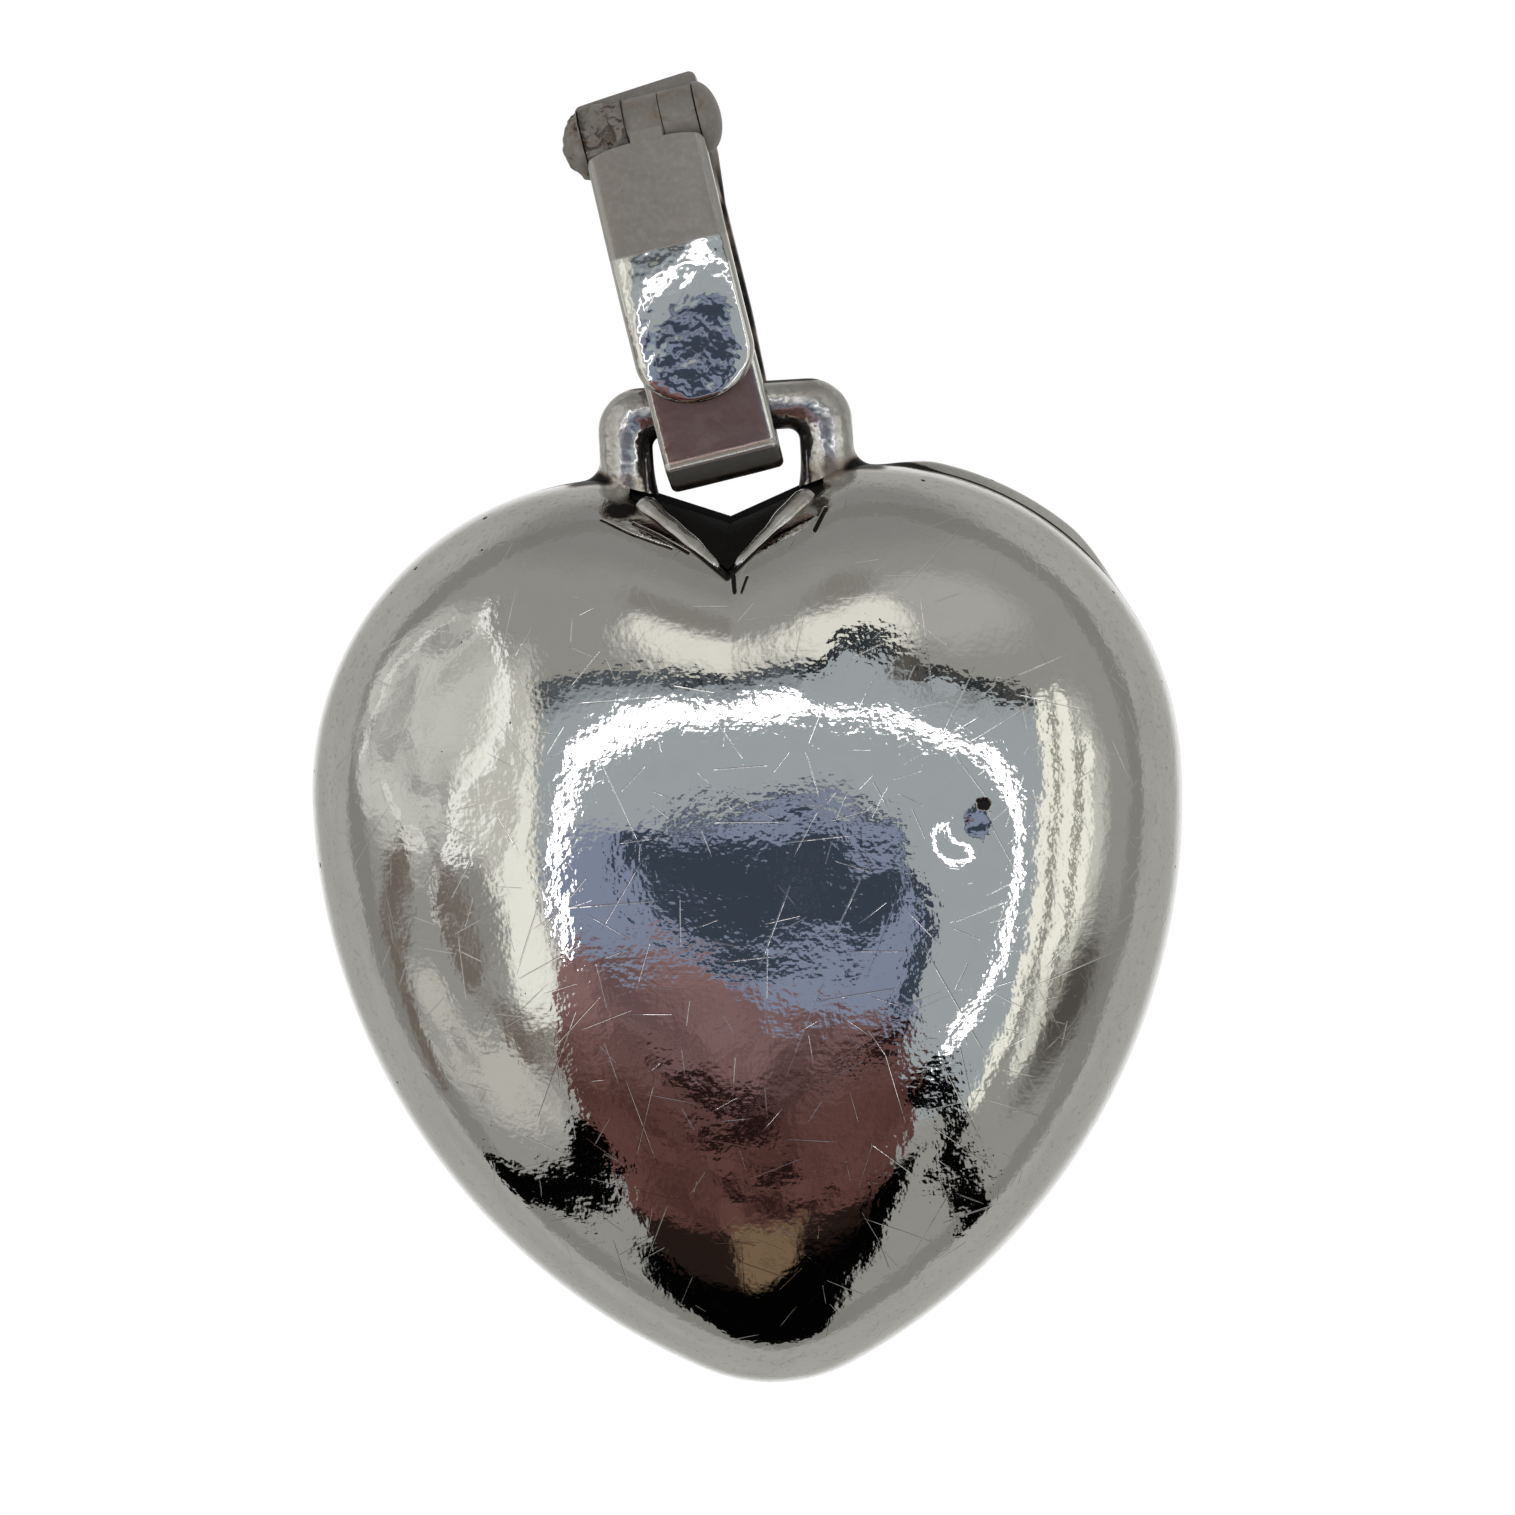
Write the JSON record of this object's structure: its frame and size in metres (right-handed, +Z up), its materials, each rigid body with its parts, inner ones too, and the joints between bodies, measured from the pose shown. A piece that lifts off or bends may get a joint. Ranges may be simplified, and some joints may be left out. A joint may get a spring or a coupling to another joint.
{
  "type": "puffy heart pendant",
  "caption": "Hollow domed metal heart pendant with a fixed staple loop, hung from a hinged clip bail whose front leaf opens over the chain.",
  "frame": {"origin": "the chain's seat, inside the top of the bail's opening, just under the hinge, on the heart's seam plane", "axes": "+Z up along the heart's line of symmetry as it hangs, -Y the way the heart's front faces, +X to the right as seen from the front"},
  "size_m": [0.0301, 0.013, 0.0455],
  "materials": {
    "polished_silver": "polished silver with fine scratches and small pits",
    "worn_silver": "worn silver, softly polished",
    "darkened_silver": "silver darkened by tarnish in the crevices",
    "rough_solder": "rough, pitted solder"
  },
  "bodies": {
    "bail": {"back_strap": "polished_silver", "left_knuckle": "rough_solder", "right_knuckle": "worn_silver", "hinge_pin": "worn_silver"},
    "heart": {"front_shell": "polished_silver", "back_shell": "worn_silver", "cleft_gusset": "darkened_silver", "hanging_loop": "worn_silver"},
    "leaf": {"front_leaf": "polished_silver", "centre_knuckle": "worn_silver", "snap_bead": "worn_silver"}
  },
  "joints": [
    {"name": "heart_swing", "type": "hinge", "parent": "bail", "child": "heart", "pos_m": [0.00199, 0, -0.0085], "axis": [1, 0, 0], "range_deg": [-80, 80]},
    {"name": "leaf_open", "type": "hinge", "parent": "bail", "child": "leaf", "pos_m": [-0.00022, -0.0006, 0.00118], "axis": [-0.9829, 0, -0.184], "range_deg": [0, 110]}
  ]
}
